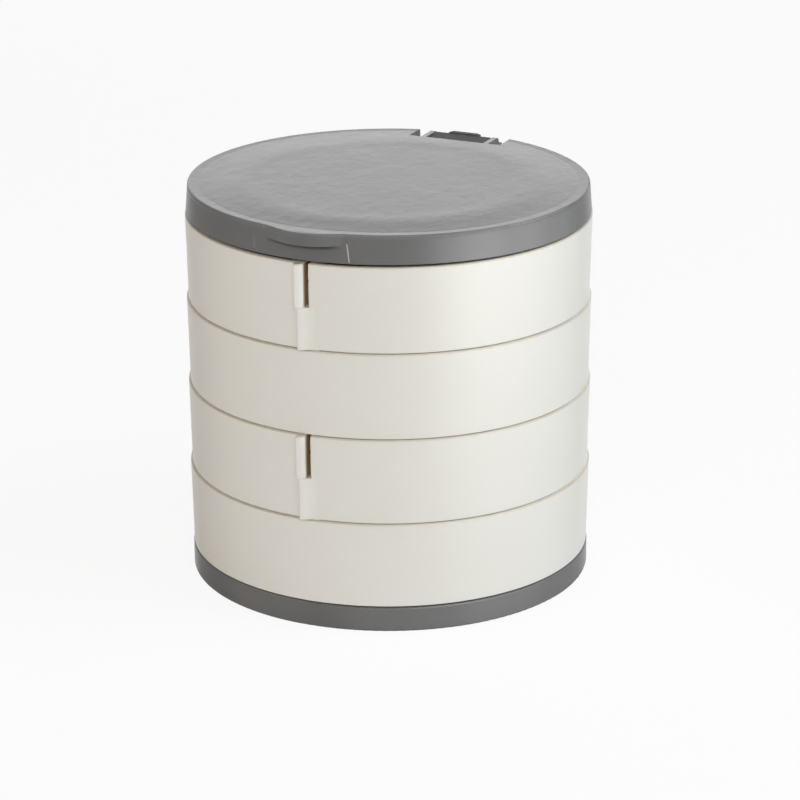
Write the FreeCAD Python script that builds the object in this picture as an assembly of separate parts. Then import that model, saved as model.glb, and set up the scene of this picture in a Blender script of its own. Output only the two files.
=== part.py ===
import FreeCAD, Part
import math
import os

# Rotating storage box: four round trays stacked on a foot, under a hinged lid with a mirror.
# The trays swing out level, each on a pin near its rim, at the front and at the back in turn.
# Millimetres. +Z is up and the origin is the centre of the underside of the foot.
# -Y is the front, with the lid's finger lip, and +Y is the back, with the lid's hinge.

# Trays: one moulding used four times, each turned half a turn from the one below
tray_count = 4
tray_radius = 50.0          # outside, at the rim
tray_foot_inset = 0.45      # how much narrower the outside is at the underside, all round
tray_height = 21.05
tray_wall = 1.6
tray_floor = 1.6
rim_round = 0.3
tray_corner_round = 1.5     # inside, where the wall meets the floor
seam = 0.3                  # gap between stacked pieces, which run on their pivot barrels
partition = 1.2
partition_drop = 4.0        # how far the partitions end below the rim

# Pivots: a pin pressed into a socket of the piece below turns in a barrel of the tray above
pin_radius = 2.0
pin_clearance = 0.05
barrel_wall = 1.95
barrel_cover = 0.2          # wall left outside the barrel, at the underside
socket_depth = 12.0
socket_end_gap = 0.5        # left under the pin in its blind socket
pin_top_gap = 2.0           # left between the pin's end and the rim
pin_chamfer = 0.6
groove_below_end = 3.2      # middle of the snap groove, under the pin's end
groove_depth = 0.4
groove_height = 1.3
bead_clearance = 0.1
bead_height = 0.8
pin_head_radius = 3.4       # only the pin in the foot has a head
pin_head_height = 1.2
pin_head_clearance = 0.1

# Slit in the outer half of a barrel, which lets the barrel's upper end snap over the pin
slot_width = 1.36
slot_depth = 10.8
slot_offset = 1.2           # to the right of the pin axis, seen from outside

# Raised ridge outside a barrel, stepped on its left: a jaw beside the slit and a fading band under it
jaw_left = 1.47             # stepped edge to the pin axis
jaw_crown_radius = 2.6
jaw_turn = 65.0             # degrees that the jaw's face has turned where it meets the slit
jaw_end_height = 0.12       # jaw above the wall there
band_left = 0.72            # stepped edge to the pin axis
band_right = 4.0            # from the pin axis to where the band has faded into the wall
band_crown_radius = 3.5
band_blend_radius = 6.0
band_turn = 35.0            # degrees that the band's face turns at its steepest
band_sink = 0.05            # how far the blend runs in under the wall at its end
band_gap = 0.12             # between the band and the rim below
ridge_round = 0.3           # on the stepped edges

# Foot
base_height = 6.2
base_inset = 0.3            # narrower than the trays' rims by this much all round
base_plate = 2.2
base_rim = 3.4              # width of the outer wall that it stands on
base_foot_round = 0.4
base_top_round = 0.5
base_rib = 1.4
base_rib_count = 8
base_hub_radius = 7.0
base_boss_wall = 1.6

# Lid
lid_height = 6.95
lid_inset = 0.2             # skirt narrower than the trays' rims by this much all round
lid_top_inset = 0.5         # how much narrower the skirt is at the top, all round
lid_plate = 1.8
lid_wall = 1.6
lid_edge_round = 0.5
lid_gap = 0.1               # between skirt and rim when the lid is pushed home
lid_ajar = 0.35             # degrees that the lid rests open
lid_opening = 105.0         # degrees to the open stop

# Finger lip at the lid's front: a crown arc and two blend arcs, with an arched lower edge
lip_reach = 2.2
lip_crown_radius = 15.0
lip_blend_radius = 15.0
lip_height = 3.05
lip_arch = 0.3

# Mirror inside the lid
mirror_margin = 0.9         # between the hinge arms' roots and the mirror's ring
mirror_thickness = 1.8
mirror_clearance = 0.3
mirror_bevel = 0.5
mirror_ring_wall = 1.2
mirror_ring_height = 2.0
tape_inset = 3.0            # from the mirror's edge to the tape's
tape_thickness = 0.5

# Lid hinge
hinge_inset = 2.3           # hinge axis to the outside of the rim
hinge_height = 3.0          # hinge axis above the rim
hinge_pin_radius = 1.0
hinge_clearance = 0.05
hinge_pin_recess = 0.2      # pin ends below the outer faces of the arms
notch_depth = 9.2           # from the outside of the rim to the notch's front edge
notch_wall = 1.2            # wall round the notch, under the lid
notch_side_gap = 3.3        # between the notch's sides and the arms
arm_gap = 0.4               # between the bracket and the arms
arm_thickness = 1.35
arm_root = 1.2              # how far the arms reach under the lid in front of the notch wall
arm_tail = 0.4              # how far the arms' tops reach behind the hinge axis
arm_round = 1.2             # on the arms' upper ends
knuckle_radius = 2.0
heel_width = 1.4            # flat on each knuckle that lands on the rim when the lid is open
heel_clearance = 0.06
bracket_half_width = 7.5
bracket_gap = 1.4           # between the notch's front edge and the bracket
bracket_drop = 0.45         # front edge of the bracket's top below the lid's top
bracket_depth = 4.5         # from that edge to the ridge, which is the highest edge
bracket_rise = 0.5          # ridge above the front edge
bracket_fall = 3.1          # how far the back slopes down behind the ridge
bracket_round = 0.35
bar_half_width = 4.2        # low raised bar behind the ridge
bar_depth = 1.5
bar_height = 0.25
bar_ramp = 1.0              # length of the slopes at its ends
stem_gap = 2.0              # left under the stem in the socket, where a pin would reach
tab_thickness = 1.3         # two tabs inside the rim keep the bracket from turning
tab_height = 4.0
tab_clearance = 0.15

overrun = 1.0               # how far cutters run past what they cut

# Sizes that follow from those above
tray_foot_radius = tray_radius - tray_foot_inset
tray_pitch = tray_height + seam
bore_radius = pin_radius + pin_clearance
barrel_radius = bore_radius + barrel_wall
pivot_y = tray_foot_radius - barrel_cover - barrel_radius
groove_radius = pin_radius - groove_depth
base_radius = tray_radius - base_inset
top_rim_z = base_height + tray_count * tray_pitch
lid_bottom_z = top_rim_z + lid_gap
lid_top_z = lid_bottom_z + lid_height
lid_under_z = lid_top_z - lid_plate
lid_foot_radius = tray_radius - lid_inset
lid_top_radius = lid_foot_radius - lid_top_inset
hinge_y = tray_radius - hinge_inset
hinge_z = top_rim_z + hinge_height
arm_inner = bracket_half_width + arm_gap
arm_outer = arm_inner + arm_thickness
arm_root_y = tray_radius - notch_depth - notch_wall - arm_root
notch_y = tray_radius - notch_depth
notch_half_width = arm_outer + notch_side_gap
mirror_seat_radius = arm_root_y - mirror_margin - mirror_ring_wall
mirror_radius = mirror_seat_radius - mirror_clearance

X_AXIS = FreeCAD.Vector(1, 0, 0)
Y_AXIS = FreeCAD.Vector(0, 1, 0)
Z_AXIS = FreeCAD.Vector(0, 0, 1)
ORIGIN = FreeCAD.Vector(0, 0, 0)
HALF_TURN = 180
FULL_TURN = 360
QUARTER_TURN = 90


def box(x0, x1, y0, y1, z0, z1):
    """Box between two corners."""
    return Part.makeBox(x1 - x0, y1 - y0, z1 - z0, FreeCAD.Vector(x0, y0, z0))


def post(radius, y, z0, z1):
    """Upright cylinder on the X = 0 plane."""
    return Part.makeCylinder(radius, z1 - z0, FreeCAD.Vector(0, y, z0))


def rod(radius, x0, x1, y, z):
    """Cylinder along X."""
    return Part.makeCylinder(radius, x1 - x0, FreeCAD.Vector(x0, y, z), X_AXIS)


def turned(points):
    """Solid of revolution about Z from (radius, height) points."""
    corners = [FreeCAD.Vector(radius, 0, height) for radius, height in points]
    face = Part.Face(Part.makePolygon(corners + corners[:1]))
    return face.revolve(ORIGIN, Z_AXIS, FULL_TURN)


def ring(inner, outer, y, z0, z1):
    """Upright tube on the X = 0 plane."""
    return post(outer, y, z0, z1).cut(post(inner, y, z0, z1))


def round_circles(shape, radius, height, size):
    """Fillet the circular edges of one radius and height about the Z axis."""
    reach = size / 2
    edges = []
    for edge in shape.Edges:
        curve = edge.Curve
        if not isinstance(curve, Part.Circle):
            continue
        if abs(curve.Radius - radius) < reach and abs(curve.Center.z - height) < reach:
            edges.append(edge)
    return shape.makeFillet(size, edges)


def tray_shell():
    """Cup with a drafted wall, a rounded rim and a rounded inside corner."""
    inner_foot = tray_foot_radius - tray_wall
    inner_rim = tray_radius - tray_wall
    shell = turned([
        (0, 0),
        (tray_foot_radius, 0),
        (tray_radius, tray_height),
        (inner_rim, tray_height),
        (inner_foot, tray_floor),
        (0, tray_floor),
    ])
    shell = round_circles(shell, tray_radius, tray_height, rim_round)
    shell = round_circles(shell, inner_rim, tray_height, rim_round)
    return round_circles(shell, inner_foot, tray_floor, tray_corner_round)


def tray_partitions():
    """One wall across the tray and one from it to the socket, for three compartments."""
    half = partition / 2
    reach = tray_foot_radius - tray_wall / 2
    top = tray_height - partition_drop
    under = tray_floor / 2
    across = box(-reach, reach, -half, half, under, top)
    socket_wall_middle = pivot_y - pin_radius - barrel_wall / 2
    to_socket = box(-half, half, 0, socket_wall_middle, under, top)
    return across.fuse(to_socket)


def wall_radius(height):
    """Outside of the drafted wall at a height above the tray's underside."""
    return tray_foot_radius + tray_foot_inset * height / tray_height


def outward(angle):
    """Level direction at an angle from the front, towards the right."""
    return FreeCAD.Vector(math.sin(angle), -math.cos(angle), 0)


def ridge(arcs, left, right, foot, top):
    """Solid from an outline of arcs, with a stepped left edge, in to the middle of the wall."""
    middle_y = tray_wall / 2 - tray_foot_radius
    inner_left = FreeCAD.Vector(left.x, middle_y, 0)
    inner_right = FreeCAD.Vector(right.x, middle_y, 0)
    sides = [
        Part.LineSegment(right, inner_right).toShape(),
        Part.LineSegment(inner_right, inner_left).toShape(),
        Part.LineSegment(inner_left, left).toShape(),
    ]
    outline = Part.Wire([arc.toShape() for arc in arcs] + sides)
    lean = tray_foot_inset * (top - foot) / tray_height
    solid = Part.Face(outline).extrude(FreeCAD.Vector(0, -lean, top - foot))
    solid.translate(FreeCAD.Vector(0, 0, foot))
    uprights = [edge for edge in solid.Edges if edge.BoundBox.ZLength > (top - foot) / 2]
    stepped = min(uprights, key=lambda edge: edge.CenterOfMass.x + edge.CenterOfMass.y)
    return solid.makeFillet(ridge_round, [stepped])


def tray_band():
    """Band under the slit: a crown at the stepped edge and a hollow blend into the wall."""
    foot = band_gap - seam
    radius = wall_radius(foot) - band_sink
    end = math.asin(band_right / radius)
    steep = end + math.radians(band_turn)
    right = outward(end) * radius
    blend_middle = outward(end) * (radius + band_blend_radius)
    joint = blend_middle - outward(steep) * band_blend_radius
    crown_middle = joint - outward(steep) * band_crown_radius
    start = math.asin((-band_left - crown_middle.x) / band_crown_radius)
    left = crown_middle + outward(start) * band_crown_radius
    crown = Part.Arc(left, crown_middle + outward((start + steep) / 2) * band_crown_radius, joint)
    blend = Part.Arc(joint, blend_middle - outward((steep + end) / 2) * band_blend_radius, right)
    return ridge([crown, blend], left, right, foot, tray_height - slot_depth)


def tray_jaw():
    """Jaw beside the slit: a crown from the stepped edge to the slit, and on into what the slit cuts."""
    foot = tray_height - slot_depth
    slit = slot_offset - slot_width / 2
    wall_y = -math.sqrt(wall_radius(foot) ** 2 - slit ** 2)
    turn = math.radians(jaw_turn)
    middle = FreeCAD.Vector(slit, wall_y - jaw_end_height, 0) - outward(turn) * jaw_crown_radius
    start = math.asin((-jaw_left - middle.x) / jaw_crown_radius)
    end = (turn + math.radians(QUARTER_TURN)) / 2
    left = middle + outward(start) * jaw_crown_radius
    right = middle + outward(end) * jaw_crown_radius
    crown = Part.Arc(left, middle + outward((start + end) / 2) * jaw_crown_radius, right)
    return ridge([crown], left, right, foot, tray_height)


def tray_slot():
    """Cutter for the slit, from outside the wall to the pin axis."""
    half = slot_width / 2
    foot = tray_height - slot_depth
    outside = -tray_radius - overrun
    return box(slot_offset - half, slot_offset + half, outside, -pivot_y, foot, tray_height + overrun)


def tray():
    """Tray standing on Z = 0, with its barrel at the front and its socket at the back."""
    groove_z = tray_height - pin_top_gap - groove_below_end
    body = tray_shell().fuse([
        tray_partitions(),
        tray_band(),
        tray_jaw(),
        post(barrel_radius, -pivot_y, -seam, tray_height),
        post(barrel_radius, pivot_y, tray_floor / 2, tray_height),
    ])
    body = body.cut(post(bore_radius, -pivot_y, -seam - overrun, tray_height + overrun))
    socket_foot = tray_height - socket_depth - socket_end_gap
    body = body.cut(post(pin_radius, pivot_y, socket_foot, tray_height + overrun))
    bead = ring(
        groove_radius + bead_clearance,
        bore_radius + barrel_wall / 2,
        -pivot_y,
        groove_z - bead_height / 2,
        groove_z + bead_height / 2,
    )
    return body.fuse(bead).cut(tray_slot()).removeSplitter()


def tray_foot_z(number):
    """Height of a tray's underside, with tray 1 at the top."""
    return base_height + seam + (tray_count - number) * tray_pitch


def pivot_side(number):
    """Where a tray's barrel is: -1 at the front for odd trays, +1 at the back for even ones."""
    return -1 if number % 2 else 1


def placed_tray(number):
    """One tray in the stack, turned so that its barrel is on its own side."""
    piece = tray()
    if pivot_side(number) > 0:
        piece.rotate(ORIGIN, Z_AXIS, HALF_TURN)
    piece.translate(FreeCAD.Vector(0, 0, tray_foot_z(number)))
    return piece


def pivot_pin(number):
    """Pin under a tray: pressed in below, turning above, with a snap groove near its end."""
    end = tray_foot_z(number) + tray_height - pin_top_gap
    groove = end - groove_below_end
    half_groove = groove_height / 2
    journal = [
        (pin_radius, groove - half_groove),
        (groove_radius, groove - half_groove),
        (groove_radius, groove + half_groove),
        (pin_radius, groove + half_groove),
        (pin_radius, end - pin_chamfer),
        (pin_radius - pin_chamfer, end),
        (0, end),
    ]
    if number == tray_count:
        # This one is put in from under the foot, with its head in a counterbore.
        shank_foot = pin_head_clearance
        start = [
            (0, shank_foot),
            (pin_head_radius, shank_foot),
            (pin_head_radius, shank_foot + pin_head_height),
            (pin_radius, shank_foot + pin_head_height),
        ]
    else:
        shank_foot = tray_foot_z(number) - seam - socket_depth
        start = [
            (0, shank_foot),
            (pin_radius - pin_chamfer, shank_foot),
            (pin_radius, shank_foot + pin_chamfer),
        ]
    pin = turned(start + journal)
    pin.translate(FreeCAD.Vector(0, pivot_side(number) * pivot_y, 0))
    return pin


def base():
    """Round foot: flat top, rounded edges, and ribs, hub and pin boss underneath, all ending flush."""
    body = post(base_radius, 0, 0, base_height)
    body = round_circles(body, base_radius, 0, base_foot_round)
    body = round_circles(body, base_radius, base_height, base_top_round)
    pocket_top = base_height - base_plate
    pocket = ring(base_hub_radius, base_radius - base_rim, 0, 0, pocket_top)
    half = base_rib / 2
    rib = box(0, base_radius, -half, half, 0, pocket_top)
    ribs = []
    for index in range(base_rib_count):
        spoke = rib.copy()
        spoke.rotate(ORIGIN, Z_AXIS, index * FULL_TURN / base_rib_count)
        ribs.append(spoke)
    side = pivot_side(tray_count) * pivot_y
    head_hole = pin_head_radius + pin_head_clearance
    boss = post(head_hole + base_boss_wall, side, 0, pocket_top)
    body = body.cut(pocket.cut(ribs + [boss]))
    body = body.cut(post(pin_radius, side, 0, base_height))
    body = body.cut(post(head_hole, side, 0, pin_head_height + pin_head_clearance))
    return body.removeSplitter()


def finger_lip():
    """Lip that stands out of the skirt at the lid's front, level with the lid's top."""
    crown_y = lip_crown_radius - lid_top_radius - lip_reach
    blend_distance = lid_top_radius + lip_blend_radius
    side = lip_crown_radius + lip_blend_radius
    cosine = (crown_y ** 2 + blend_distance ** 2 - side ** 2) / (2 * -crown_y * blend_distance)
    turn = math.acos(cosine)

    foot = lid_top_z - lip_height

    def at(distance, angle):
        return FreeCAD.Vector(distance * math.sin(angle), -distance * math.cos(angle), foot)

    def mirrored(point):
        return FreeCAD.Vector(-point.x, point.y, point.z)

    crown_middle = at(-crown_y, 0)
    blend_middle = at(blend_distance, turn)
    outer = at(lid_top_radius, turn)
    joint = crown_middle + (blend_middle - crown_middle) * (lip_crown_radius / side)
    halfway = (outer + joint) / 2 - blend_middle
    blend_point = blend_middle + halfway.normalize() * lip_blend_radius
    tip = at(lid_top_radius + lip_reach, 0)
    outline = Part.Wire([
        Part.LineSegment(mirrored(outer), outer).toShape(),
        Part.Arc(outer, blend_point, joint).toShape(),
        Part.Arc(joint, tip, mirrored(joint)).toShape(),
        Part.Arc(mirrored(joint), mirrored(blend_point), mirrored(outer)).toShape(),
    ])
    lip = Part.Face(outline).extrude(FreeCAD.Vector(0, 0, lip_height))
    upper = [edge for edge in lip.Edges if edge.BoundBox.ZMin > lid_top_z - lip_height / 2]
    lip = lip.makeFillet(lid_edge_round, [edge for edge in upper if isinstance(edge.Curve, Part.Circle)])
    arch_radius = (outer.x ** 2 + lip_arch ** 2) / (2 * lip_arch)
    length = lip_reach + lid_top_radius - lid_top_radius * cosine + 2 * overrun
    arch_foot = FreeCAD.Vector(0, tip.y - overrun, foot + arch_radius)
    return lip.common(Part.makeCylinder(arch_radius, length, arch_foot, Y_AXIS))


def lid_arm(x0, x1):
    """Arm beside the bracket: level with the lid's top, a knuckle on the pin and a heel for the open stop."""
    upper = box(x0, x1, arm_root_y, hinge_y + arm_tail, hinge_z, lid_top_z)
    corner = max(upper.Edges, key=lambda edge: edge.CenterOfMass.y + edge.CenterOfMass.z)
    upper = upper.makeFillet(arm_round, [corner])
    lower = box(x0, x1, arm_root_y, hinge_y, hinge_z - knuckle_radius, hinge_z)
    knuckle = rod(knuckle_radius, x0, x1, hinge_y, hinge_z)
    reach = hinge_height - heel_clearance
    below = box(x0, x1, hinge_y, hinge_y + reach, hinge_z - heel_width, hinge_z)
    below = below.common(rod(reach, x0, x1, hinge_y, hinge_z))
    above = box(x0, x1, hinge_y, hinge_y + reach, hinge_z, hinge_z + heel_width)
    heel = below.fuse(above)
    heel.rotate(FreeCAD.Vector(0, hinge_y, hinge_z), X_AXIS, lid_opening + lid_ajar - QUARTER_TURN)
    return upper.fuse([lower, knuckle, heel])


def notch_walls():
    """Block inside the skirt that leaves a wall on three sides once the notch is cut through it."""
    inside = turned([
        (0, lid_bottom_z),
        (lid_foot_radius - lid_wall / 2, lid_bottom_z),
        (lid_top_radius - lid_wall / 2, lid_under_z),
        (0, lid_under_z),
    ])
    side = notch_half_width + notch_wall
    return inside.common(box(-side, side, notch_y - notch_wall, tray_radius, lid_bottom_z, lid_under_z))


def ajar(piece):
    """Turn a piece of the lid about the hinge, from pushed home to where the lid rests."""
    piece.rotate(FreeCAD.Vector(0, hinge_y, hinge_z), X_AXIS, -lid_ajar)
    return piece


def lid_shell():
    """Lid: skirted plate with the finger lip, the mirror's ring, the hinge notch and two arms."""
    shell = turned([
        (0, lid_top_z),
        (lid_top_radius, lid_top_z),
        (lid_foot_radius, lid_bottom_z),
        (lid_foot_radius - lid_wall, lid_bottom_z),
        (lid_top_radius - lid_wall, lid_under_z),
        (0, lid_under_z),
    ])
    shell = round_circles(shell, lid_top_radius, lid_top_z, lid_edge_round).fuse(finger_lip())
    seat_outside = mirror_seat_radius + mirror_ring_wall
    seat = ring(mirror_seat_radius, seat_outside, 0, lid_under_z - mirror_ring_height, lid_under_z)
    shell = shell.fuse([seat, notch_walls()])
    side = notch_half_width
    back = tray_radius + overrun
    shell = shell.cut(box(-side, side, notch_y, back, lid_bottom_z - overrun, lid_top_z + overrun))
    shell = shell.fuse([lid_arm(arm_inner, arm_outer), lid_arm(-arm_outer, -arm_inner)])
    shell = shell.cut(rod(hinge_pin_radius, -arm_outer - overrun, arm_outer + overrun, hinge_y, hinge_z))
    return ajar(shell.removeSplitter())


def lid_mirror():
    """Round mirror with a bevelled front edge, face down in the closed lid."""
    back = lid_under_z - tape_thickness
    face = back - mirror_thickness
    mirror = turned([
        (0, back),
        (mirror_radius, back),
        (mirror_radius, face + mirror_bevel),
        (mirror_radius - mirror_bevel, face),
        (0, face),
    ])
    return ajar(mirror)


def mirror_tape():
    """Disc of foam tape between the lid and the mirror."""
    return ajar(post(mirror_radius - tape_inset, 0, lid_under_z - tape_thickness, lid_under_z))


def lid_hinge_pin():
    """Steel pin pressed into the lid's arms, turning in the bracket."""
    end = arm_outer - hinge_pin_recess
    return rod(hinge_pin_radius, -end, end, hinge_y, hinge_z)


def prism(points, way):
    """Solid swept from a flat outline of points along a vector."""
    corners = [FreeCAD.Vector(*point) for point in points]
    return Part.Face(Part.makePolygon(corners + corners[:1])).extrude(way)


def hinge_bracket():
    """Block on the top tray's rim with a stem in the tray's spare socket and two tabs inside the wall."""
    width = bracket_half_width
    front = notch_y + bracket_gap
    top = lid_top_z - bracket_drop
    ridge_y = front + bracket_depth
    ridge_z = top + bracket_rise
    back_z = ridge_z - bracket_fall
    side = [
        (-width, front, top_rim_z),
        (-width, front, top),
        (-width, ridge_y, ridge_z),
        (-width, tray_radius, back_z),
        (-width, tray_radius, top_rim_z),
    ]
    block = prism(side, X_AXIS * (2 * width))
    upper = [edge for edge in block.Edges if edge.BoundBox.ZMin > top - bracket_round]
    block = block.makeFillet(bracket_round, upper)
    bar_end = bar_half_width - bar_ramp
    bar_front = [
        (-bar_half_width, ridge_y, back_z),
        (-bar_half_width, ridge_y, ridge_z),
        (-bar_end, ridge_y, ridge_z + bar_height),
        (bar_end, ridge_y, ridge_z + bar_height),
        (bar_half_width, ridge_y, ridge_z),
        (bar_half_width, ridge_y, back_z),
    ]
    block = block.fuse(prism(bar_front, Y_AXIS * bar_depth))
    block = block.common(post(tray_radius, 0, top_rim_z, ridge_z + bar_height))
    foot = top_rim_z - tab_height
    tab_outside = tray_radius - tray_wall - tab_clearance - tray_foot_inset * tab_height / tray_height
    tabs = ring(tab_outside - tab_thickness, tab_outside, 0, foot, top_rim_z)
    tabs = tabs.common(box(-width, width, front, tray_radius, foot, top_rim_z))
    tabs = tabs.cut(post(barrel_radius + tab_clearance, pivot_y, foot, top_rim_z))
    stem = post(pin_radius, pivot_y, top_rim_z - socket_depth + stem_gap, top_rim_z)
    bore = rod(hinge_pin_radius + hinge_clearance, -arm_inner, arm_inner, hinge_y, hinge_z)
    return block.fuse([tabs, stem]).cut(bore).removeSplitter()


def pieces():
    """Every piece of the box under its node's name."""
    made = {"base": base()}
    for number in range(1, tray_count + 1):
        made[f"tray_{number}"] = placed_tray(number)
        made[f"pivot_pin_{number}"] = pivot_pin(number)
    made["hinge_bracket"] = hinge_bracket()
    made["lid_hinge_pin"] = lid_hinge_pin()
    made["lid_shell"] = lid_shell()
    made["mirror_tape"] = mirror_tape()
    made["lid_mirror"] = lid_mirror()
    return made


os.makedirs("parts", exist_ok=True)
for name, shape in pieces().items():
    shape.exportStep(f"parts/{name}.step")
    print(name, "solids", len(shape.Solids), "valid", shape.isValid(), "volume", round(shape.Volume, 1))
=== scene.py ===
import math

import bpy
import numpy as np
from mathutils import Matrix


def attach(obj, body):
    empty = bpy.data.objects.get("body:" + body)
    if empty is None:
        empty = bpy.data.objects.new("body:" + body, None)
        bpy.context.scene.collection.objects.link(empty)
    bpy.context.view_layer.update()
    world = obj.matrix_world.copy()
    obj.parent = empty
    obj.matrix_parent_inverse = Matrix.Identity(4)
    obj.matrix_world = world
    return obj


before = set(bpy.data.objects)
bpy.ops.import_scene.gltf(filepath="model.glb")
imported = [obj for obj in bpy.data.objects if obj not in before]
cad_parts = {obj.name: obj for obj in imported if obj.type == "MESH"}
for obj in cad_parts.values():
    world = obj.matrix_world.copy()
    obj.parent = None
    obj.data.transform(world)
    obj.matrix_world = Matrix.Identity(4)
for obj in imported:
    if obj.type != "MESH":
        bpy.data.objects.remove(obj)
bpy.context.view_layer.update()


# Foot: the round plate under the stack, one moulding of mid-grey ABS with ribs on its underside.
# Its mould was spark eroded, so the plastic comes out matt with a fine grain.
# It stands loose on the table and holds the lowest pivot pin.
MM = 0.001


def linear(hex_colour):
    """sRGB hex to linear RGBA: c / 12.92 up to 0.04045, above it ((c + 0.055) / 1.055) to the power 2.4."""
    srgb = np.array([int(hex_colour[i:i + 2], 16) for i in (1, 3, 5)]) / 255
    rgb = np.where(srgb <= 0.04045, srgb / 12.92, ((srgb + 0.055) / 1.055) ** 2.4)
    return (*map(float, rgb), 1.0)


def add_node(tree, kind, inputs=None, **settings):
    """Adds a node of that kind with its settings. Each input is a value, or another node's output to link."""
    node = tree.nodes.new(kind)
    for name, value in settings.items():
        setattr(node, name, value)
    for key, value in (inputs or {}).items():
        if isinstance(value, bpy.types.NodeSocket):
            tree.links.new(value, node.inputs[key])
        else:
            node.inputs[key].default_value = value
    return node


def eroded_abs(name, deep, pale, smooth, rough, cloud_size):
    """ABS from a spark-eroded mould: matt, with a slight cloudiness of the pigment and a fine grain.
    The grain of 0.12 mm is drawn at 0.35 mm, which is as fine as shows in the picture."""
    material = bpy.data.materials.new(name)
    material.use_nodes = True
    tree = material.node_tree
    tree.nodes.clear()
    place = add_node(tree, "ShaderNodeTexCoord", name="place").outputs["Object"]
    cloud = add_node(tree, "ShaderNodeTexNoise", {"Vector": place, "Scale": 1 / cloud_size, "Detail": 3.0})
    grain = add_node(tree, "ShaderNodeTexNoise", {"Vector": place, "Scale": 1 / (0.35 * MM), "Detail": 1.0})
    tint = add_node(tree, "ShaderNodeMix", {"Factor": cloud.outputs["Fac"], "A": linear(deep),
                    "B": linear(pale)}, data_type="RGBA", name="tint")
    dull = add_node(tree, "ShaderNodeMapRange", {"Value": cloud.outputs["Fac"], "To Min": smooth,
                    "To Max": rough}, name="dull")
    relief = add_node(tree, "ShaderNodeBump", {"Height": grain.outputs["Fac"], "Strength": 0.25,
                      "Distance": 0.02 * MM}, name="relief")
    shader = add_node(tree, "ShaderNodeBsdfPrincipled", {"Base Color": tint.outputs["Result"],
                      "Roughness": dull.outputs["Result"], "Normal": relief.outputs["Normal"],
                      "IOR": 1.53}, name="shader")
    add_node(tree, "ShaderNodeOutputMaterial", {"Surface": shader.outputs["BSDF"]})
    return material


def dress(node, material):
    """Gives a piece of the frame its finish, in place of the plain one that it came with."""
    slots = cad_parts[node].data.materials
    slots.clear()
    slots.append(material)


dress("base", eroded_abs("grey_abs_foot", "#616161", "#676767", 0.30, 0.36, 14 * MM))


# Pivot pins: four turned rods of white acetal, each pressed into the piece below and free in the tray above.
# The bar was turned to size, which leaves fine rings, and the plastic is dense, slick and slightly waxy.


def turned_acetal():
    """White acetal: waxy and a little see-through under the skin, with turning rings.
    The rings of 0.08 mm are drawn at 0.3 mm, so that they show close up."""
    material = bpy.data.materials.new("white_acetal")
    material.use_nodes = True
    tree = material.node_tree
    tree.nodes.clear()
    place = add_node(tree, "ShaderNodeTexCoord").outputs["Object"]
    cloud = add_node(tree, "ShaderNodeTexNoise", {"Vector": place, "Scale": 1 / (3 * MM), "Detail": 2.0})
    rings = add_node(tree, "ShaderNodeTexWave", {"Vector": place, "Scale": 1 / (0.3 * MM) / 6.4,
                     "Distortion": 0.4}, bands_direction="Z")
    tint = add_node(tree, "ShaderNodeMix", {"Factor": cloud.outputs["Fac"], "A": linear("#e2e1da"),
                    "B": linear("#eae9e3")}, data_type="RGBA")
    dull = add_node(tree, "ShaderNodeMapRange", {"Value": cloud.outputs["Fac"], "To Min": 0.24,
                    "To Max": 0.32})
    relief = add_node(tree, "ShaderNodeBump", {"Height": rings.outputs["Fac"], "Strength": 0.2,
                      "Distance": 0.01 * MM})
    shader = add_node(tree, "ShaderNodeBsdfPrincipled", {"Base Color": tint.outputs["Result"],
                      "Roughness": dull.outputs["Result"], "Normal": relief.outputs["Normal"], "IOR": 1.48,
                      "Subsurface Weight": 0.15, "Subsurface Radius": (0.6, 0.55, 0.5),
                      "Subsurface Scale": 0.6 * MM})
    add_node(tree, "ShaderNodeOutputMaterial", {"Surface": shader.outputs["BSDF"]})
    return material


pin_finish = turned_acetal()
for number in range(1, 5):
    dress(f"pivot_pin_{number}", pin_finish)


# Trays: four alike mouldings of warm white ABS, each with its barrel, socket and partitions in one piece.
# The walls are satin from a polished mould. The slide that formed the slit has left a fine line at each side,
# level with the slit's lower end. Painted shade browns the inside of the slits, and darkens each rim's outer
# edge in the gap under the piece above.
lowest_foot, tray_pitch, tray_height = 6.5, 21.35, 21.05
tray_foot_radius, tray_flare = 49.55, 0.45
slit_middle, slit_half, slit_rise, slit_reach = -1.2, 0.72, 15.6, 5.3
wall_middle, wall_half = 47.5, 2.5
slide_lines = {"left": (-5.4, -1.75, 10.6, 10.3), "right": (3.0, 5.1, 10.5, 10.2)}
slide_width, slide_rise, bead_steps = 0.22, 0.05, 24


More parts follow.
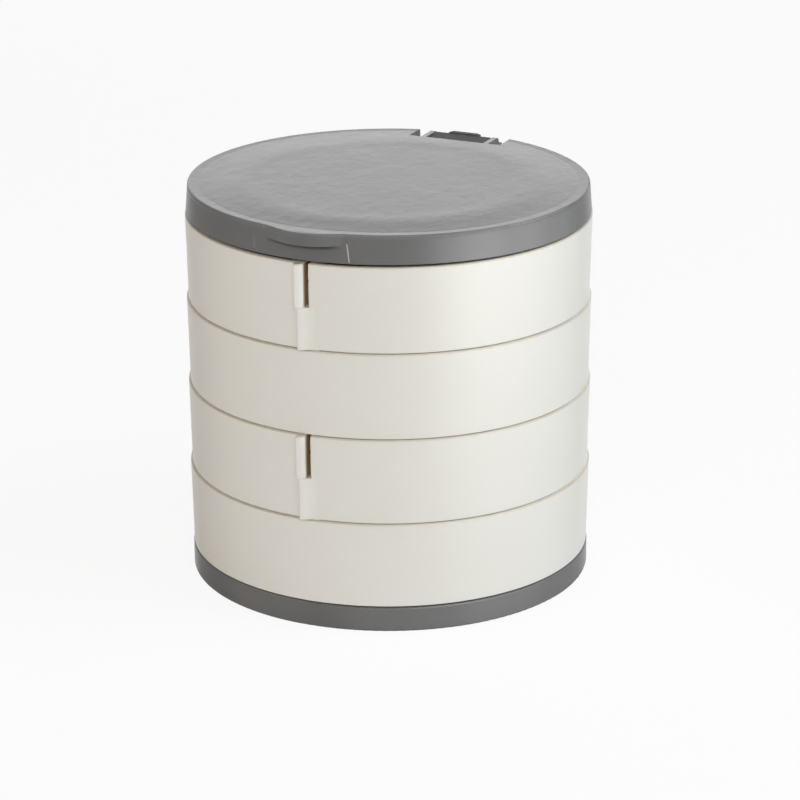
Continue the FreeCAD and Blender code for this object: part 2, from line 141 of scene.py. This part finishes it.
def polished_abs():
    """Warm white ABS, satin from a polished mould, with a slight unevenness of colour and a soft orange peel.
    Painted shade browns the inside of the slits, and darkens the rims' outer edges in the gap under the piece
    above."""
    material = bpy.data.materials.new("white_abs")
    material.use_nodes = True
    tree = material.node_tree
    tree.nodes.clear()
    place = add_node(tree, "ShaderNodeTexCoord").outputs["Object"]
    cloud = add_node(tree, "ShaderNodeTexNoise", {"Vector": place, "Scale": 1 / (22 * MM), "Detail": 4.0})
    peel = add_node(tree, "ShaderNodeTexNoise", {"Vector": place, "Scale": 1 / (1.1 * MM), "Detail": 1.0})
    tint = add_node(tree, "ShaderNodeMix", {"Factor": cloud.outputs["Fac"], "A": linear("#e8e6df"),
                    "B": linear("#eceae4")}, data_type="RGBA")
    apart = add_node(tree, "ShaderNodeSeparateXYZ", {"Vector": place})
    facing = add_node(tree, "ShaderNodeMath", {0: apart.outputs["Y"]}, operation="SIGN")
    across = add_node(tree, "ShaderNodeMath", {0: apart.outputs["X"], 1: facing.outputs[0]},
                      operation="MULTIPLY")
    level = add_node(tree, "ShaderNodeVectorMath", {0: place, 1: (1, 1, 0)}, operation="MULTIPLY")
    radius = add_node(tree, "ShaderNodeVectorMath", {0: level.outputs["Vector"]}, operation="LENGTH")
    radius = radius.outputs["Value"]
    rise = add_node(tree, "ShaderNodeMath", {0: apart.outputs["Z"], 1: lowest_foot * MM},
                    operation="SUBTRACT")
    rise = add_node(tree, "ShaderNodeMath", {0: rise.outputs[0], 1: tray_pitch * MM},
                    operation="FLOORED_MODULO")
    # Painted shade: the brown tint fills the inside of each slit, where the recess lies in shade.
    painted_shade = add_node(tree, "ShaderNodeMapRange", {"Value": radius, "From Min": 49.7 * MM,
                     "From Max": 48.9 * MM})
    for value, middle, half in ((across.outputs[0], slit_middle, slit_half),
                                (rise.outputs[0], slit_rise, slit_reach), (radius, wall_middle, wall_half)):
        inside = add_node(tree, "ShaderNodeMath", {0: value, 1: middle * MM, 2: half * MM},
                          operation="COMPARE")
        painted_shade = add_node(tree, "ShaderNodeMath", {0: painted_shade.outputs[0], 1: inside.outputs[0]},
                         operation="MULTIPLY")
    # Painted shade along the outer edge of each rim, in the gap under the lid or the tray above.
    edge = add_node(tree, "ShaderNodeMapRange", {"Value": radius, "From Min": 49.6 * MM,
                    "From Max": 49.8 * MM})
    rim = add_node(tree, "ShaderNodeMapRange", {"Value": rise.outputs[0], "From Min": 20.6 * MM,
                   "From Max": 20.95 * MM, "To Max": 0.5})
    painted_shadow = add_node(tree, "ShaderNodeMath", {0: edge.outputs["Result"], 1: rim.outputs["Result"]},
                     operation="MULTIPLY")
    painted_shade = add_node(tree, "ShaderNodeMath", {0: painted_shade.outputs[0], 1: painted_shadow.outputs[0]}, operation="MAXIMUM")
    # The brown mixed in here is painted shade, in the slits and along the rims' outer edges.
    tint = add_node(tree, "ShaderNodeMix", {"Factor": painted_shade.outputs[0], "A": tint.outputs["Result"],
                    "B": linear("#a8874c")}, data_type="RGBA")
    dull = add_node(tree, "ShaderNodeMapRange", {"Value": cloud.outputs["Fac"], "To Min": 0.34,
                    "To Max": 0.44})
    relief = add_node(tree, "ShaderNodeBump", {"Height": peel.outputs["Fac"], "Strength": 0.08,
                      "Distance": 0.03 * MM})
    shader = add_node(tree, "ShaderNodeBsdfPrincipled", {"Base Color": tint.outputs["Result"],
                      "Roughness": dull.outputs["Result"], "Normal": relief.outputs["Normal"], "IOR": 1.53})
    add_node(tree, "ShaderNodeOutputMaterial", {"Surface": shader.outputs["BSDF"]})
    return material


def bead(name, path, outward, width, height, material):
    """Closed bead along a path, half sunk in a wall. At share u of the path and angle v its surface is at
    path(u) + t(u) (width / 2 cos v sideways(u) + height sin v outward(u)).
    Here t(u) = (1 - (2u - 1)^6)^(1/2) closes both ends to a point, and sideways is square to the path and to
    outward."""
    around = 12
    along = np.gradient(path, axis=0)
    sideways = np.cross(outward, along)
    sideways = sideways / np.linalg.norm(sideways, axis=1, keepdims=True)
    share = np.linspace(-1, 1, len(path))
    taper = np.sqrt(1 - share ** 6)[1:-1, None, None]
    turn = np.linspace(0, 2 * np.pi, around, endpoint=False)[None, :, None]
    across = width / 2 * np.cos(turn) * sideways[1:-1, None]
    rise = height * np.sin(turn) * outward[1:-1, None]
    rings = path[1:-1, None] + taper * (across + rise)
    points = np.concatenate([rings.reshape(-1, 3), path[:1], path[-1:]])
    count = len(path) - 2
    ring, spoke = np.meshgrid(np.arange(count - 1), np.arange(around), indexing="ij")
    near, far = ring * around, (ring + 1) * around
    step = (spoke + 1) % around
    sides = np.stack([near + spoke, near + step, far + step, far + spoke], -1).reshape(-1, 4)
    spoke = np.arange(around)
    step = (spoke + 1) % around
    first = np.stack([np.full(around, count * around), step, spoke], -1)
    last = (count - 1) * around
    final = np.stack([np.full(around, count * around + 1), last + spoke, last + step], -1)
    mesh = bpy.data.meshes.new(name)
    mesh.from_pydata(points.tolist(), [], sides.tolist() + first.tolist() + final.tolist())
    mesh.shade_smooth()
    mesh.materials.append(material)
    piece = bpy.data.objects.new(name, mesh)
    bpy.context.scene.collection.objects.link(piece)
    return piece


tray_finish = polished_abs()
for number in range(1, 5):
    dress(f"tray_{number}", tray_finish)
    foot = lowest_foot + (4 - number) * tray_pitch
    side = 1 if number % 2 else -1
    for label, (start, end, high, low) in slide_lines.items():
        angle = np.radians(np.linspace(start, end, bead_steps))
        height = np.linspace(high, low, bead_steps)
        radius = tray_foot_radius + tray_flare * height / tray_height
        outward = side * np.stack([np.sin(angle), -np.cos(angle), 0 * angle], -1)
        path = outward * radius[:, None] + np.stack([0 * angle, 0 * angle, foot + height], -1)
        line = bead(f"tray_{number}_slide_line_{label}", path * MM, outward, slide_width * MM,
                    slide_rise * MM, tray_finish)
        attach(line, f"tray_{number}")


# Hinge bracket: the dark block in the lid's notch, of charcoal ABS from the same kind of matt mould.
# Its stem is pressed into the top tray's spare socket, and two tabs keep it from turning.
dress("hinge_bracket", eroded_abs("charcoal_abs", "#232324", "#5e5e60", 0.62, 0.80, 1.4 * MM))


# Lid: a grey ABS cap with a skirt, a finger lip and two hinge arms. Its top sagged in cooling between the
# mirror's ring and the skirt, and is scuffed from use. A painted shadow darkens the skirt under the lip, and
# the parting of the mould has left fine beads of flash, whitened where the thin plastic was torn.
lid_tilt = math.radians(0.35)
lid_axis = np.array([0, 47.7, 94.6])
lid_foot, lid_foot_radius, lid_taper = 91.7, 49.8, 0.5 / 6.95
top_from, top_full = 98.2, 98.5
sag_from, sag_to, sag_depth = 28, 50, 0.6
sag_profile = {28.5: 0.83, 32: 0.83, 36: 1.0, 41: 0.55, 46: 0.03, 47.2: 0.0, 49.3: 0.27}
uneven_turn, uneven_length, uneven_width, uneven_depth = 100, 4.6, 3.0, 0.14
scuffs = ((96, 7.0, 0.5), (72, 9.0, 0.4), (118, 5.0, 0.6))
lip_foot, lip_half, lip_front = 96.25, 11.4, -40
# Painted shadow under the lip: where it begins and where it is full, how much lower it reaches in the middle,
# and its share.
painted_shadow_from, painted_shadow_full, painted_shadow_lift, painted_shadow_share = 94.9, 95.45, 0.75, 0.7
skirt_in, skirt_out = 49.2, 49.62
flash_lines = {
    "right": (12.86, 13.58, 4.9, 0.15, 0.32, 0.12, "torn"),
    "right_short": (13.3, 13.72, 5.8, 4.3, 0.2, 0.03, "whole"),
    "left": (-15.5, -15.27, 4.3, 0.9, 0.6, 0.03, "whole"),
}

lid_finish = eroded_abs("grey_abs_lid", "#656565", "#6b6b6b", 0.30, 0.36, 14 * MM)
tree = lid_finish.node_tree
place = tree.nodes["place"].outputs["Object"]
apart = add_node(tree, "ShaderNodeSeparateXYZ", {"Vector": place})
level = add_node(tree, "ShaderNodeCombineXYZ", {"X": apart.outputs["X"], "Y": apart.outputs["Y"]})
radius = add_node(tree, "ShaderNodeVectorMath", {0: level.outputs["Vector"]}, operation="LENGTH")
radius = radius.outputs["Value"]
upper = add_node(tree, "ShaderNodeMapRange", {"Value": apart.outputs["Z"], "From Min": top_from * MM,
                 "From Max": top_full * MM})
out = add_node(tree, "ShaderNodeMapRange", {"Value": radius, "From Min": sag_from * MM,
               "From Max": sag_to * MM})
sag = add_node(tree, "ShaderNodeValToRGB", {"Fac": out.outputs["Result"]})
sag.color_ramp.interpolation = "B_SPLINE"
for at, height in sag_profile.items():
    stop = sag.color_ramp.elements.new((at - sag_from) / (sag_to - sag_from))
    stop.color = (height, height, height, 1)
sag.color_ramp.elements.remove(sag.color_ramp.elements[-1])
sag.color_ramp.elements.remove(sag.color_ramp.elements[0])
sunk = add_node(tree, "ShaderNodeBump", {"Height": sag.outputs["Color"], "Strength": 1.0,
                "Distance": sag_depth * MM, "Normal": tree.nodes["relief"].outputs["Normal"]})
run = add_node(tree, "ShaderNodeMapping", {"Vector": place, "Rotation": (0, 0, math.radians(uneven_turn)),
               "Scale": (uneven_length * MM, uneven_width * MM, uneven_length * MM)}, vector_type="TEXTURE")
uneven = add_node(tree, "ShaderNodeTexNoise", {"Vector": run.outputs["Vector"], "Scale": 1.0, "Detail": 2.0})
uneven = add_node(tree, "ShaderNodeMath", {0: uneven.outputs["Fac"], 1: upper.outputs["Result"]},
                  operation="MULTIPLY")
sunk = add_node(tree, "ShaderNodeBump", {"Height": uneven.outputs[0], "Strength": 1.0,
                "Distance": uneven_depth * MM, "Normal": sunk.outputs["Normal"]})
tree.links.new(sunk.outputs["Normal"], tree.nodes["shader"].inputs["Normal"])
worn = add_node(tree, "ShaderNodeTexNoise", {"Vector": place, "Scale": 1 / (16 * MM), "Detail": 2.0})
patch = add_node(tree, "ShaderNodeMapRange", {"Value": worn.outputs["Fac"], "From Min": 0.5,
                 "From Max": 0.7})
patch = add_node(tree, "ShaderNodeMath", {0: patch.outputs["Result"], 1: upper.outputs["Result"]},
                 operation="MULTIPLY")
tint = tree.nodes["tint"].outputs["Result"]
for turn, length, width in scuffs:
    # Scuffs of 0.1 mm are drawn 0.4 to 0.6 mm wide, which is as fine as shows in the picture.
    run = add_node(tree, "ShaderNodeMapping", {"Vector": place, "Rotation": (0, 0, math.radians(turn)),
                   "Scale": (length * MM, width * MM, length * MM)}, vector_type="TEXTURE")
    streak = add_node(tree, "ShaderNodeTexNoise", {"Vector": run.outputs["Vector"], "Scale": 1.0,
                      "Detail": 1.0})
    scuff = add_node(tree, "ShaderNodeMapRange", {"Value": streak.outputs["Fac"], "From Min": 0.64,
                     "From Max": 0.8, "To Max": 0.7})
    share = add_node(tree, "ShaderNodeMath", {0: scuff.outputs["Result"], 1: patch.outputs["Value"]},
                     operation="MULTIPLY")
    tint = add_node(tree, "ShaderNodeMix", {"Factor": share.outputs["Value"], "A": tint,
                    "B": linear("#84848a")}, data_type="RGBA").outputs["Result"]
# The painted shadow lies on the skirt from the lip's foot down, lower in the middle, and fades towards the
# lip's ends.
share = add_node(tree, "ShaderNodeMath", {0: apart.outputs["X"], 1: lip_half * MM}, operation="DIVIDE")
share = add_node(tree, "ShaderNodeMath", {0: share.outputs[0], 1: share.outputs[0]}, operation="MULTIPLY")
drop = add_node(tree, "ShaderNodeMath", {0: share.outputs[0], 1: -painted_shadow_lift * MM, 2: apart.outputs["Z"]},
                operation="MULTIPLY_ADD")
painted_shadow = add_node(tree, "ShaderNodeMapRange", {"Value": drop.outputs[0], "From Min": painted_shadow_from * MM,
                 "From Max": painted_shadow_full * MM, "To Max": painted_shadow_share})
fade = add_node(tree, "ShaderNodeMapRange", {"Value": share.outputs[0], "From Min": 0.3, "From Max": 0.8,
                "To Min": 1.0, "To Max": 0.0})
painted_shadow = add_node(tree, "ShaderNodeMath", {0: painted_shadow.outputs[0], 1: fade.outputs[0]}, operation="MULTIPLY")
for value, limit, test in ((apart.outputs["Y"], lip_front, "LESS_THAN"),
                           (apart.outputs["Z"], lip_foot, "LESS_THAN"),
                           (radius, skirt_in, "GREATER_THAN"), (radius, skirt_out, "LESS_THAN")):
    inside = add_node(tree, "ShaderNodeMath", {0: value, 1: limit * MM}, operation=test)
    painted_shadow = add_node(tree, "ShaderNodeMath", {0: painted_shadow.outputs[0], 1: inside.outputs[0]},
                     operation="MULTIPLY")
# The near black mixed in here is painted shadow on the skirt under the lip.
tint = add_node(tree, "ShaderNodeMix", {"Factor": painted_shadow.outputs[0], "A": tint, "B": linear("#26231f")},
                data_type="RGBA").outputs["Result"]
tree.links.new(tint, tree.nodes["shader"].inputs["Base Color"])
dress("lid_shell", lid_finish)

flash_finish = {"torn": eroded_abs("grey_abs_torn", "#a8a8a8", "#b8b8b8", 0.30, 0.36, 14 * MM),
                "whole": eroded_abs("grey_abs_flash", "#6e6e6e", "#747474", 0.30, 0.36, 14 * MM)}
turned = np.array([[1, 0, 0], [0, math.cos(lid_tilt), math.sin(lid_tilt)],
                   [0, -math.sin(lid_tilt), math.cos(lid_tilt)]])
for label, (start, end, high, low, width, rise, state) in flash_lines.items():
    angle = np.radians(np.linspace(start, end, bead_steps))
    height = np.linspace(high, low, bead_steps)
    outward = np.stack([np.sin(angle), -np.cos(angle), 0 * angle], -1)
    path = outward * (lid_foot_radius - lid_taper * height)[:, None]
    path = path + np.stack([0 * angle, 0 * angle, lid_foot + height], -1) - lid_axis
    path = path @ turned.T + lid_axis
    line = bead(f"lid_flash_{label}", path * MM, outward @ turned.T, width * MM, rise * MM,
                flash_finish[state])
    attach(line, "lid")


# Tape: a disc of white acrylic foam under the lid's top.
# It is stuck to the back of the mirror and holds it in its ring.


def acrylic_foam():
    """Foam tape: dead matt and off-white, with small open cells. The cells of 0.2 mm are drawn at 0.7 mm."""
    material = bpy.data.materials.new("acrylic_foam")
    material.use_nodes = True
    tree = material.node_tree
    tree.nodes.clear()
    place = add_node(tree, "ShaderNodeTexCoord").outputs["Object"]
    cells = add_node(tree, "ShaderNodeTexVoronoi", {"Vector": place, "Scale": 1 / (0.7 * MM)})
    tint = add_node(tree, "ShaderNodeMix", {"Factor": cells.outputs["Distance"], "A": linear("#c9c6be"),
                    "B": linear("#dad8d1")}, data_type="RGBA")
    relief = add_node(tree, "ShaderNodeBump", {"Height": cells.outputs["Distance"], "Strength": 0.5,
                      "Distance": 0.1 * MM})
    shader = add_node(tree, "ShaderNodeBsdfPrincipled", {"Base Color": tint.outputs["Result"],
                      "Roughness": 0.92, "Normal": relief.outputs["Normal"], "IOR": 1.47})
    add_node(tree, "ShaderNodeOutputMaterial", {"Surface": shader.outputs["BSDF"]})
    return material


dress("mirror_tape", acrylic_foam())


# Mirror: a round of silvered float glass with a ground edge, face down inside the closed lid.
# The tape holds it in the ring under the lid's top.
mirror_radius, mirror_bevel = 36.0, 0.5


def silvered_glass():
    """Silvered float glass: a clear reflection with faint finger smears, and a ground edge of pale green."""
    material = bpy.data.materials.new("silvered_glass")
    material.use_nodes = True
    tree = material.node_tree
    tree.nodes.clear()
    place = add_node(tree, "ShaderNodeTexCoord").outputs["Object"]
    apart = add_node(tree, "ShaderNodeSeparateXYZ", {"Vector": place})
    level = add_node(tree, "ShaderNodeCombineXYZ", {"X": apart.outputs["X"], "Y": apart.outputs["Y"]})
    radius = add_node(tree, "ShaderNodeVectorMath", {0: level.outputs["Vector"]}, operation="LENGTH")
    edge = add_node(tree, "ShaderNodeMapRange", {"Value": radius.outputs["Value"],
                    "From Min": (mirror_radius - mirror_bevel - 0.05) * MM,
                    "From Max": (mirror_radius - mirror_bevel + 0.05) * MM})
    smear = add_node(tree, "ShaderNodeTexNoise", {"Vector": place, "Scale": 1 / (11 * MM), "Detail": 4.0,
                     "Distortion": 0.8})
    clean = add_node(tree, "ShaderNodeMapRange", {"Value": smear.outputs["Fac"], "From Min": 0.45,
                     "From Max": 0.75, "To Min": 0.015, "To Max": 0.06})
    dull = add_node(tree, "ShaderNodeMix", {"Factor": edge.outputs["Result"], "A": clean.outputs["Result"],
                    "B": 0.35})
    tint = add_node(tree, "ShaderNodeMix", {"Factor": edge.outputs["Result"], "A": linear("#e9eceb"),
                    "B": linear("#b5cabf")}, data_type="RGBA")
    silver = add_node(tree, "ShaderNodeMath", {0: 1.0, 1: edge.outputs["Result"]}, operation="SUBTRACT")
    shader = add_node(tree, "ShaderNodeBsdfPrincipled", {"Base Color": tint.outputs["Result"],
                      "Metallic": silver.outputs["Value"], "Roughness": dull.outputs["Result"]})
    add_node(tree, "ShaderNodeOutputMaterial", {"Surface": shader.outputs["BSDF"]})
    return material


dress("lid_mirror", silvered_glass())


# Hinge pin: a length of drawn steel wire.
# It is pressed into the lid's arms and free in the bracket.


def drawn_steel():
    """Drawn steel wire: bright, with fine lines along the pin. The lines of 0.05 mm are drawn at 0.15 mm."""
    material = bpy.data.materials.new("drawn_steel")
    material.use_nodes = True
    tree = material.node_tree
    tree.nodes.clear()
    place = add_node(tree, "ShaderNodeTexCoord").outputs["Object"]
    run = add_node(tree, "ShaderNodeMapping", {"Vector": place, "Scale": (1 / (6 * MM), 1 / (0.15 * MM),
                   1 / (0.15 * MM))})
    lines = add_node(tree, "ShaderNodeTexNoise", {"Vector": run.outputs["Vector"], "Scale": 1.0,
                     "Detail": 2.0})
    tint = add_node(tree, "ShaderNodeMix", {"Factor": lines.outputs["Fac"], "A": linear("#a9abad"),
                    "B": linear("#c3c5c6")}, data_type="RGBA")
    dull = add_node(tree, "ShaderNodeMapRange", {"Value": lines.outputs["Fac"], "To Min": 0.22,
                    "To Max": 0.36})
    shader = add_node(tree, "ShaderNodeBsdfPrincipled", {"Base Color": tint.outputs["Result"],
                      "Metallic": 1.0, "Roughness": dull.outputs["Result"]})
    add_node(tree, "ShaderNodeOutputMaterial", {"Surface": shader.outputs["BSDF"]})
    return material


dress("lid_hinge_pin", drawn_steel())


# Floor: a plain sheet of white paper that the box stands on. The camera sees it mostly as white, with a share
# of its own shading for the box's shadow. Reflections in the box see it dimmer, with a little sheen.
floor_half, floor_white, floor_shine, floor_sheen = 3, 0.9, 0.1, 0.6


def white_paper():
    """White paper with a slight sheen. Its scale of fibre, 0.5 mm, is lost in the white."""
    material = bpy.data.materials.new("white_paper")
    material.use_nodes = True
    tree = material.node_tree
    tree.nodes.clear()
    place = add_node(tree, "ShaderNodeTexCoord").outputs["Object"]
    path = add_node(tree, "ShaderNodeLightPath").outputs
    seen = add_node(tree, "ShaderNodeMath", {0: path["Is Glossy Ray"], 1: floor_shine}, operation="MULTIPLY")
    for ray in ("Is Camera Ray", "Is Transmission Ray"):
        seen = add_node(tree, "ShaderNodeMath", {0: seen.outputs[0], 1: path[ray]}, operation="MAXIMUM")
    share = add_node(tree, "ShaderNodeMath", {0: seen.outputs[0], 1: floor_white}, operation="MULTIPLY")
    fibre = add_node(tree, "ShaderNodeTexNoise", {"Vector": place, "Scale": 1 / (0.5 * MM), "Detail": 2.0})
    tint = add_node(tree, "ShaderNodeMix", {"Factor": fibre.outputs["Fac"], "A": linear("#f1f1f1"),
                    "B": linear("#f3f3f3")}, data_type="RGBA")
    paper = add_node(tree, "ShaderNodeBsdfDiffuse", {"Color": tint.outputs["Result"]})
    white = add_node(tree, "ShaderNodeEmission", {"Strength": 1.0})
    mixed = add_node(tree, "ShaderNodeMixShader", {"Fac": share.outputs[0], 1: paper.outputs[0],
                     2: white.outputs[0]})
    sheen = add_node(tree, "ShaderNodeBsdfGlossy", {"Roughness": 0.15})
    gloss = add_node(tree, "ShaderNodeMath", {0: path["Is Glossy Ray"], 1: floor_sheen}, operation="MULTIPLY")
    laid = add_node(tree, "ShaderNodeMixShader", {"Fac": gloss.outputs[0], 1: mixed.outputs[0],
                    2: sheen.outputs[0]})
    add_node(tree, "ShaderNodeOutputMaterial", {"Surface": laid.outputs[0]})
    return material


mesh = bpy.data.meshes.new("floor")
corners = [(-1, -1), (1, -1), (1, 1), (-1, 1)]
mesh.from_pydata([(floor_half * x, floor_half * y, 0) for x, y in corners], [], [(0, 1, 2, 3)])
mesh.materials.append(white_paper())
floor = bpy.data.objects.new("floor", mesh)
bpy.context.scene.collection.objects.link(floor)


# Light: soft boxes round the table. Low strips close to the box only show in its gloss, and stay under the
# plane of the lid. The camera sees the sky as white, and reflections see it dimmer. Each lamp has its azimuth
# from the camera, elevation, distance, width, height, power and colour, and whether it lights matt surfaces.
view_azimuth = 24.3
sky_shine = 0.5
lamps = {
    "backdrop": (180.0, 14.0, 0.9, 1.0, 0.35, 1.45, "#ffffff", True),
    "rear": (170.0, 55.0, 0.9, 0.6, 0.6, 0.6, "#ffffff", True),
    "front": (0.0, 30.0, 0.9, 0.8, 0.6, 3.5, "#fffefb", True),
    "left": (-75.0, 25.0, 0.9, 0.8, 0.6, 2.1, "#fff1e3", True),
    "right": (75.0, 48.0, 0.9, 0.6, 0.6, 5.25, "#f8fcff", True),
    "strip": (62.0, 0.0, 0.23, 0.2, 0.09, 0.125, "#ffffff", False),
    "strip_left": (40.0, 0.0, 0.23, 0.14, 0.09, 0.087, "#ffffff", False),
    "strip_wide": (68.0, 0.0, 0.23, 0.46, 0.09, 0.162, "#ffffff", False),
}
centre = np.array([0, 0, 0.05])


def towards(azimuth, elevation):
    """Direction at an azimuth to the right of the front and an elevation, and the level direction to its
    right."""
    a, e = math.radians(azimuth), math.radians(elevation)
    back = np.array([math.sin(a) * math.cos(e), -math.cos(a) * math.cos(e), math.sin(e)])
    return back, np.array([math.cos(a), math.sin(a), 0.0])


def stand(name, data, right, back, spot):
    """Puts a lamp or camera at a spot, looking against back, with right as its right-hand side."""
    holder = bpy.data.objects.new(name, data)
    bpy.context.scene.collection.objects.link(holder)
    matrix = np.eye(4)
    matrix[:3] = np.stack([right, np.cross(back, right), back, spot], -1)
    holder.matrix_world = Matrix(matrix.tolist())
    return holder


world = bpy.data.worlds.new("studio")
bpy.context.scene.world = world
world.use_nodes = True
tree = world.node_tree
tree.nodes.clear()
path = add_node(tree, "ShaderNodeLightPath").outputs
seen = add_node(tree, "ShaderNodeMath", {0: path["Is Glossy Ray"], 1: sky_shine}, operation="MULTIPLY")
for ray in ("Is Camera Ray", "Is Transmission Ray"):
    seen = add_node(tree, "ShaderNodeMath", {0: seen.outputs[0], 1: path[ray]}, operation="MAXIMUM")
sky = add_node(tree, "ShaderNodeBackground", {"Color": (1, 1, 1, 1), "Strength": seen.outputs[0]})
add_node(tree, "ShaderNodeOutputWorld", {"Surface": sky.outputs["Background"]})
for name, (azimuth, elevation, distance, width, height, power, colour, lights) in lamps.items():
    lamp = bpy.data.lights.new(name, "AREA")
    lamp.shape = "RECTANGLE"
    lamp.size, lamp.size_y = width, height
    lamp.color = linear(colour)[:3]
    lamp.energy = power
    back, right = towards(view_azimuth + azimuth, elevation)
    holder = stand(name, lamp, right, back, centre + distance * back)
    holder.visible_diffuse, holder.visible_camera = lights, False


# Camera: a long lens a little above the box, to the right of its front.
# It is turned and aimed so that the rims fall where the photograph has them.
view_elevation, view_distance, view_roll = 18.894, 0.85893, -0.211
aim_right, aim_up = 2.561, -7.948
lens_data = bpy.data.cameras.new("camera")
lens_data.sensor_width = 36.0
lens_data.lens = 154.92
back, right = towards(view_azimuth, view_elevation)
spot = centre + view_distance * back
aim = centre + aim_right * MM * right + aim_up * MM * np.cross(back, right)
back = (spot - aim) / np.linalg.norm(spot - aim)
right = np.cross([0, 0, 1], back)
right = right / np.linalg.norm(right)
roll = math.radians(view_roll)
right = math.cos(roll) * right + math.sin(roll) * np.cross(back, right)
bpy.context.scene.camera = stand("camera", lens_data, right, back, spot)
bpy.context.scene.view_settings.view_transform = "Standard"
